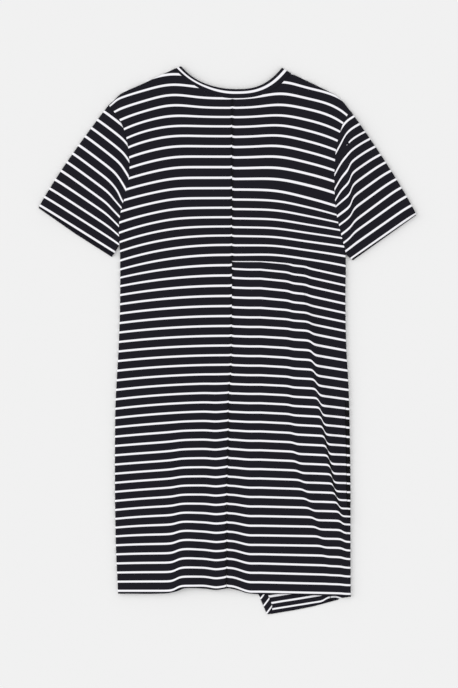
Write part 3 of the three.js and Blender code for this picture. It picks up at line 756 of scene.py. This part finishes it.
# Stripes of the sleeves, in the cuff's own frame: "up" is the distance from the cuff line near
# its outer end, "slope" the rise for 100 mm along it, "fold" and "drop" where the sleeve's fold
# crosses the stripe and how far it shifts there, and from "bend" on it turns down by "turn" for 100 mm
leftSleeveStripes = [
    {"stripe": 0, "up": 2.5, "slope": 3, "fold": 100, "drop": 0, "bend": 140, "turn": 0},
    {"stripe": 1, "up": 19, "slope": 2.5, "fold": 100, "drop": 0, "bend": 130, "turn": 5},
    {"stripe": 2, "up": 35.5, "slope": 1.5, "fold": 100, "drop": 0, "bend": 120, "turn": 18},
    {"stripe": 3, "up": 53, "slope": 0, "fold": 100, "drop": 0, "bend": 104, "turn": 22},
    {"stripe": 4, "up": 70.5, "slope": -3, "fold": 100, "drop": 1, "bend": 94, "turn": 19},
    {"stripe": 5, "up": 88, "slope": -4, "fold": 96, "drop": 1, "bend": 84, "turn": 23},
    {"stripe": 6, "up": 105.5, "slope": -5, "fold": 104, "drop": 5, "bend": 78, "turn": 31},
    {"stripe": 7, "up": 123, "slope": -5, "fold": 100, "drop": 1, "bend": 77, "turn": 41},
    {"stripe": 8, "up": 141.5, "slope": -6, "fold": 100, "drop": 0, "bend": 75, "turn": 45},
    {"stripe": 9, "up": 159, "slope": -6, "fold": 100, "drop": 0, "bend": 70, "turn": 42},
    {"stripe": 10, "up": 176.5, "slope": -5, "fold": 100, "drop": 0, "bend": 60, "turn": 43},
    {"stripe": 11, "up": 194.5, "slope": -5, "fold": 100, "drop": 0, "bend": 50, "turn": 42},
    {"stripe": 13, "up": 230, "slope": -5, "fold": 100, "drop": 0, "bend": 44, "turn": 42},
]

# Between 9.7 and 10.3 the right sleeve's cloth is tucked into a fold
rightSleeveStripes = [
    {"stripe": 0, "up": 2.5, "slope": 0, "fold": 120, "drop": 0, "bend": 120, "turn": 0},
    {"stripe": 1, "up": 19, "slope": 0, "fold": 120, "drop": 1, "bend": 120, "turn": 0},
    {"stripe": 2, "up": 36.5, "slope": -1, "fold": 111, "drop": 4, "bend": 120, "turn": 0},
    {"stripe": 3, "up": 53.5, "slope": -3, "fold": 99, "drop": 5, "bend": 120, "turn": 0},
    {"stripe": 4, "up": 70.5, "slope": -2, "fold": 88, "drop": 8, "bend": 120, "turn": 0},
    {"stripe": 5, "up": 87.5, "slope": -2, "fold": 78, "drop": 11, "bend": 120, "turn": 0},
    {"stripe": 6, "up": 104.5, "slope": -2, "fold": 67, "drop": 11, "bend": 86, "turn": 10},
    {"stripe": 7, "up": 121, "slope": 0, "fold": 57, "drop": 11, "bend": 80, "turn": 54},
    {"stripe": 8, "up": 137.5, "slope": 0, "fold": 47, "drop": 9, "bend": 64, "turn": 52},
    {"stripe": 9, "up": 153.5, "slope": 0, "fold": 36, "drop": 3, "bend": 48, "turn": 54},
    {"stripe": 9.7, "up": 164, "slope": 0, "fold": 28, "drop": 1, "bend": 39, "turn": 54},
    {"stripe": 10.3, "up": 172.5, "slope": 0, "fold": 28, "drop": 9, "bend": 39, "turn": 54},
    {"stripe": 11, "up": 184.5, "slope": 0, "fold": 28, "drop": 1, "bend": 16, "turn": 52},
    {"stripe": 12, "up": 201, "slope": 0, "fold": 28, "drop": 0, "bend": 8, "turn": 52},
    {"stripe": 14, "up": 232, "slope": 0, "fold": 28, "drop": 0, "bend": 6, "turn": 52},
]
sleeveStripes = {"left": leftSleeveStripes, "right": rightSleeveStripes}
sleeveCloth = {
    "level": 20.0, "foldSoft": 8.0, "bendSoft": 12.0, "tip": 8.0, "tipSlope": {"left": 0.06, "right": 0.14},
}


# Unit vectors along a cuff from its outer end, and away from it towards the shoulder
def cuffFrame(side):
    outer, inner = np.array(cuff[side]["outer"]), np.array(cuff[side]["inner"])
    along = (inner - outer) / np.linalg.norm(inner - outer)
    return outer, along, np.array([along[1], -along[0]]) * outwards[side]


def sleeveNumber(side, x, y):
    cloth = sleeveCloth
    outer, along, away = cuffFrame(side)
    dx, dy = x - outer[0], y - outer[1]
    beside = dx * along[0] + dy * along[1]
    distance = dx * away[0] + dy * away[1]

    def sleeveHeights(row, at):
        tip = cloth["tipSlope"][side] * softRamp(-at, -cloth["tip"], cloth["bendSoft"])
        return (row["up"] + row["slope"] * (at - cloth["level"]) / 100 - tip
                - row["drop"] * softDrop(at, row["fold"], cloth["foldSoft"])
                - row["turn"] * softRamp(at, row["bend"], cloth["bendSoft"]) / 100)

    return stripeNumber(sleeveStripes[side], sleeveHeights, beside, distance, reach=(-40.0, 180.0), step=0.1)


def sleeve(side):
    out, gap = outwards[side], dress["seamGap"] / 2
    outer, inner = cuff[side]["outer"], cuff[side]["inner"]

    def armhole(f):
        up = mix(dress["armholeTop"][side], dress["underarm"][side], f)
        return edgeAt[side](up) + out * gap, up

    def straight(a, b, t):
        return mix(a[0], b[0], t), mix(a[1], b[1], t)

    def outerEdge(t):
        x, y = straight(armhole(0.0), outer, t)
        bow = dress["sleeveBow"]
        wave = np.maximum(np.sin(math.pi * np.clip(t, 0, 1) ** bow["lean"]), 0)
        bow = bow["rise"] * wave ** bow["fullness"]
        return x + out * bow, y + bow

    edges = {"bottom": armhole, "top": lambda f: straight(outer, inner, f),
             "start": outerEdge, "end": lambda t: straight(armhole(1.0), inner, t)}
    along = rimPlaces(np.linspace(0, 1, 80), 200, False, False)
    outers, inners = [], []
    for row in along:
        a, b = patchPoint(edges, np.array(0.0), row[0]), patchPoint(edges, np.array(1.0), row[0])
        length = float(np.linalg.norm(b - a))
        columns = rimPlaces(np.linspace(0.035, 0.965, 72), length, True, True)
        ring = []
        for sheet in (topSheet, underSheet):
            level = dict(sheet, seam=dress["rimHeight"])
            ring.append(sheetPoints(edges, columns, row[None, :], level,
                                    lambda u, v: np.ones_like(u), lambda u, v: np.zeros_like(u)))
        outers.append(np.concatenate([ring[0][0][0], ring[1][0][0][-2:0:-1]]))
        inners.append(np.concatenate([ring[0][1][0], ring[1][1][0][-2:0:-1]]))
    outerPoints = np.stack(outers, 1)
    innerPoints = np.stack(inners, 1)

    # The cuff's two layers don't end on one line
    start, beside, away = cuffFrame(side)
    width = float(np.linalg.norm(np.array(inner) - np.array(outer)))
    way = np.clip(((outerPoints[..., :2] - start) @ beside) / width, 0, 1)
    layer = np.clip((outerPoints[..., 2] - 1.2) / 2.6, 0, 1)
    topStop = mix(cuff[side]["topStop"][0], cuff[side]["topStop"][1], way)
    below = np.interp(way, [0, 0.5, 1], cuff[side]["below"])
    pull = smoothStep((along[:, 0] - 0.8) / 0.2)[None, :] * mix(below, topStop, layer)
    for points in (outerPoints, innerPoints):
        points[..., :2] -= pull[..., None] * away
    x, y = outerPoints[..., 0], outerPoints[..., 1]
    number = sleeveNumber(side, x, y)
    number = np.where((layer < 0.5) & (number < 0.6), 0.5, number)   # painted shade: the under layer shows black below the top layer's cuff
    return shellMesh("sleeve" + side.capitalize() + "Cloth", outerPoints, innerPoints,
                     np.dstack([x * mm, number]), loop=True,
                     tuck=10 if side == "right" else None, tuckEnd=202 * mm)


def neckband():
    ways = {side: rimPlaces(np.linspace(0.0, 0.93, 34), 99, False, True) for side in outwards}
    stations = [("left", w) for w in ways["left"][::-1]] + [("right", w) for w in ways["right"][1:]]
    widths = np.linspace(0, 1, 7)

    def section(side, place, name):
        isTop = name == "top"
        drop = 0.0 if isTop else neck["frontDrop"]
        way, sin, cos = place
        inset = dress["wall"] * sin / abs(neck["seamTip"][side][0])
        outer, inner = [], []
        for width in widths:
            for way2, store in ((way, outer), (way - inset, inner)):
                seam = neckCurve("seam", side, way2, drop)
                edge = neckCurve("band", side, way2, drop)
                low = seam[1] + dress["seamGap"] / 2
                store.append((mix(seam[0], edge[0], width), mix(low, edge[1], width)))
        outer, inner = np.array(outer), np.array(inner)
        high = topHeight(outer[:, 0], outer[:, 1]) if isTop else np.zeros(len(widths))
        low = high + (-dress["wall"] if isTop else dress["wall"])
        fall = 1 - cos
        return (np.column_stack([outer, mix(high, dress["rimHeight"], fall)]),
                np.column_stack([inner, mix(low, dress["rimHeight"], fall)]))

    ring = [section(side, place, "top") for side, place in stations]
    ring += [section(side, place, "under") for side, place in stations[-2:0:-1]]
    outer = np.stack([a for a, b in ring])
    inner = np.stack([b for a, b in ring])
    ends = [(side, np.interp(place[0], neck["turn"], (0, 1))) for side, place in stations + stations[-2:0:-1]]
    rim = np.array([mix(neck["rimMiddle"], neck["rimEnd"][side], way) for side, way in ends])
    seam = np.array([mix(neck["seamMiddle"], neck["seamEnd"][side], way) for side, way in ends])
    number = mix(seam[:, None], rim[:, None], widths[None, :])
    length = np.broadcast_to(np.arange(len(ring))[:, None] * 3.0, outer.shape[:2])
    return shellMesh("neckbandCloth", outer, inner, np.dstack([length * mm, number]), loop=True)


# Turned strip at the corner's left edge, from its low end to its top, with slanting stripes
turnedStrip = [
    {"way": 0, "left": 60.3, "leftUp": -31.9, "right": 64.5, "rightUp": -32.1},
    {"way": 0.25, "left": 57, "leftUp": -24.2, "right": 69.4, "rightUp": -24},
    {"way": 0.6, "left": 52.1, "leftUp": -12, "right": 67.3, "rightUp": -11.6},
    {"way": 1, "left": 46, "leftUp": 2.5, "right": 61.5, "rightUp": 1.5},
]
turnedStripes = {"slant": 53.0, "first": -66.1, "pitch": 11.5}


def cornerHem():
    u, v = np.meshgrid(np.linspace(0, 1, 14), np.linspace(0, 1, 36))
    leftX, leftY, rightX, rightY = (tableReader(turnedStrip, "way", name)(v)
                                    for name in ("left", "leftUp", "right", "rightUp"))
    x, y = mix(leftX, rightX, u), mix(leftY, rightY, u)
    lift = 0.4 * np.sin(math.pi * u) + 0.9 * smoothStep(5 * np.minimum(u, 1 - u))
    slant = math.radians(turnedStripes["slant"])
    beside = -math.sin(slant) * x + math.cos(slant) * y
    number = (beside - turnedStripes["first"]) / turnedStripes["pitch"]
    outer = np.dstack([x, y, 1.1 + lift])
    inner = np.dstack([x, y, np.full_like(x, 1.0)])
    return shellMesh("cornerHemCloth", outer, inner, np.dstack([x * mm, number]))


# sRGB hex to linear colour
def linear(hexColour):
    parts = [int(hexColour[i:i + 2], 16) / 255 for i in (1, 3, 5)]
    return tuple(c / 12.92 if c <= 0.04045 else ((c + 0.055) / 1.055) ** 2.4 for c in parts) + (1.0,)


def addNode(tree, kind, settings=None, links=None):
    node = tree.nodes.new(kind)
    for name, value in (settings or {}).items():
        if isinstance(name, int) or name in node.inputs:
            node.inputs[name].default_value = value
        else:
            setattr(node, name, value)
    for name, source in (links or {}).items():
        tree.links.new(source, node.inputs[name])
    return node


def jerseyMaterial(name, stripeHalf):
    material = bpy.data.materials.new(name)
    material.use_nodes = True
    tree = material.node_tree
    tree.nodes.clear()
    place = addNode(tree, "ShaderNodeUVMap", {"uv_map": "cloth"})
    along = addNode(tree, "ShaderNodeSeparateXYZ", links={0: place.outputs[0]})

    # White where the stripe number is near a whole one
    moved = addNode(tree, "ShaderNodeMath", {"operation": "ADD", 1: 0.5}, {0: along.outputs[1]})
    part = addNode(tree, "ShaderNodeMath", {"operation": "FRACT"}, {0: moved.outputs[0]})
    offset = addNode(tree, "ShaderNodeMath", {"operation": "SUBTRACT", 1: 0.5}, {0: part.outputs[0]})
    away = addNode(tree, "ShaderNodeMath", {"operation": "ABSOLUTE"}, {0: offset.outputs[0]})
    stripe = addNode(tree, "ShaderNodeMapRange",
                     {"From Min": stripeHalf + jersey["stripeEdge"], "From Max": stripeHalf - jersey["stripeEdge"]},
                     {"Value": away.outputs[0]})

    # Loose fibres, stretched along the stitch columns, make each dye a little uneven
    body = addNode(tree, "ShaderNodeTexCoord")
    drawn = addNode(tree, "ShaderNodeMapping", {"Scale": jersey["fuzzScale"]},
                    {"Vector": body.outputs["Object"]})
    fuzz = addNode(tree, "ShaderNodeTexNoise", {"Scale": 1.0, "Detail": 3.0}, {"Vector": drawn.outputs[0]})
    black = addNode(tree, "ShaderNodeMix", {"data_type": "RGBA", 6: linear(jersey["black"]), 7: linear(jersey["blackWorn"])},
                    {0: fuzz.outputs[0]})
    white = addNode(tree, "ShaderNodeMix", {"data_type": "RGBA", 6: linear(jersey["whiteShade"]), 7: linear(jersey["white"])},
                    {0: fuzz.outputs[0]})

    # Painted shade in the seams and along the long fold: first the black deepens in it, then the white greys
    paintedShade = addNode(tree, "ShaderNodeAttribute", {"attribute_name": "paintedShade"})
    deep = addNode(tree, "ShaderNodeMapRange", {"From Min": 0.0, "From Max": 0.5},
                   {"Value": paintedShade.outputs["Fac"]})
    deepest = addNode(tree, "ShaderNodeMapRange", {"From Min": 0.5, "From Max": 1.0},
                      {"Value": paintedShade.outputs["Fac"]})
    blackIn = addNode(tree, "ShaderNodeMix", {"data_type": "RGBA", 7: linear(jersey["blackPaintedShade"])},
                      {0: deep.outputs[0], 6: black.outputs[2]})
    whiteIn = addNode(tree, "ShaderNodeMix", {"data_type": "RGBA", 7: linear(jersey["whitePaintedShade"])},
                      {0: deepest.outputs[0], 6: white.outputs[2]})
    colour = addNode(tree, "ShaderNodeMix", {"data_type": "RGBA"},
                     {0: stripe.outputs[0], 6: blackIn.outputs[2], 7: whiteIn.outputs[2]})

    # Stitch columns
    turns = addNode(tree, "ShaderNodeMath", {"operation": "MULTIPLY", 1: 2 * math.pi / (jersey["waleMm"] * mm)},
                    {0: along.outputs[0]})
    wales = addNode(tree, "ShaderNodeMath", {"operation": "SINE"}, {0: turns.outputs[0]})
    relief = addNode(tree, "ShaderNodeMath", {"operation": "MULTIPLY_ADD", 1: 0.5}, {0: wales.outputs[0], 2: fuzz.outputs[0]})
    bump = addNode(tree, "ShaderNodeBump", {"Strength": jersey["relief"], "Distance": 0.0003},
                   {"Height": relief.outputs[0]})
    shader = addNode(tree, "ShaderNodeBsdfPrincipled",
                     {"Roughness": jersey["roughness"], "Specular IOR Level": jersey["specular"], "IOR": jersey["ior"]},
                     {"Base Color": colour.outputs[2], "Normal": bump.outputs[0]})
    addNode(tree, "ShaderNodeOutputMaterial", links={"Surface": shader.outputs[0]})
    return material


clothMaterial = jerseyMaterial("cottonJerseyStriped", jersey["stripeHalf"])
bandMaterial = jerseyMaterial("cottonJerseyBand", jersey["bandHalf"])

pieces = {
    "back_left": backPanel("backLeftCloth", "left", "whole"),
    "back_right_lower": backPanel("backRightLowerCloth", "right", "lower"),
    "back_right_upper": backPanel("backRightUpperCloth", "right", "upper"),
    "front": frontPanel(),
    "front_corner_hem": cornerHem(),
    "sleeve_left": sleeve("left"),
    "sleeve_right": sleeve("right"),
    "neckband": neckband(),
}
print("cloth pieces made:", len(pieces))

# Pale floor, even light from all sides and one low, broad source at the left
studio = {"floor": "#f1f1f1", "world": 0.865, "sun": 1.0, "elevation": 25.0, "bearing": 165.0, "spread": 40.0}

bpy.ops.mesh.primitive_plane_add(size=8, location=(0, 0, -0.0004))
floor = bpy.context.object
floor.name = "floor"
floorMaterial = bpy.data.materials.new("seamlessPaper")
floorMaterial.use_nodes = True
paper = floorMaterial.node_tree.nodes["Principled BSDF"]
paper.inputs["Base Color"].default_value = linear(studio["floor"])
paper.inputs["Roughness"].default_value = 0.95
paper.inputs["Specular IOR Level"].default_value = 0.0
floor.data.materials.append(floorMaterial)

for node, piece in pieces.items():
    piece.data.materials.append(bandMaterial if node == "neckband" else clothMaterial)
    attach(piece, "root")
    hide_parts(node)
print("sheets declared")

world = bpy.data.worlds.new("studio")
bpy.context.scene.world = world
world.use_nodes = True
sky = world.node_tree.nodes["Background"]
sky.inputs[0].default_value = (1, 1, 1, 1)
sky.inputs[1].default_value = studio["world"]

lampData = bpy.data.lights.new("leftWindow", "SUN")
lampData.energy = studio["sun"]
lampData.angle = math.radians(studio["spread"])
lamp = bpy.data.objects.new("leftWindow", lampData)
bpy.context.collection.objects.link(lamp)
height, bearing = math.radians(studio["elevation"]), math.radians(studio["bearing"])
level = math.cos(height)
towards = Vector((level * math.cos(bearing), level * math.sin(bearing), math.sin(height)))
lamp.location = towards * 3
lamp.rotation_euler = (-towards).to_track_quat("-Z", "Y").to_euler()

# Camera straight above, 85 mm lens; the photo's frame is 458 by 688 at 1.7 mm a pixel
photo = {
    "width": 458, "height": 688, "scale": 1.7, "centreColumn": 231, "hemRow": 595, "lens": 85.0, "sensor": 36.0,
}
cameraData = bpy.data.cameras.new("camera")
camera = bpy.data.objects.new("camera", cameraData)
bpy.context.collection.objects.link(camera)
cameraData.lens = photo["lens"]
cameraData.sensor_width = photo["sensor"]
cameraData.sensor_fit = "AUTO"
frameHeight = photo["height"] * photo["scale"] * mm
halfPixel = 0.5        # rows and columns are counted to the middle of a pixel
lookX = (photo["width"] / 2 - halfPixel - photo["centreColumn"]) * photo["scale"] + centreLine
lookY = (photo["hemRow"] - photo["height"] / 2 + halfPixel) * photo["scale"] + hemLine
camera.location = (lookX * mm, lookY * mm, frameHeight * photo["lens"] / photo["sensor"] + dress["loft"] * mm)
camera.rotation_euler = (0, 0, 0)
bpy.context.scene.camera = camera
bpy.context.scene.view_settings.view_transform = "Standard"
print("camera and light set")
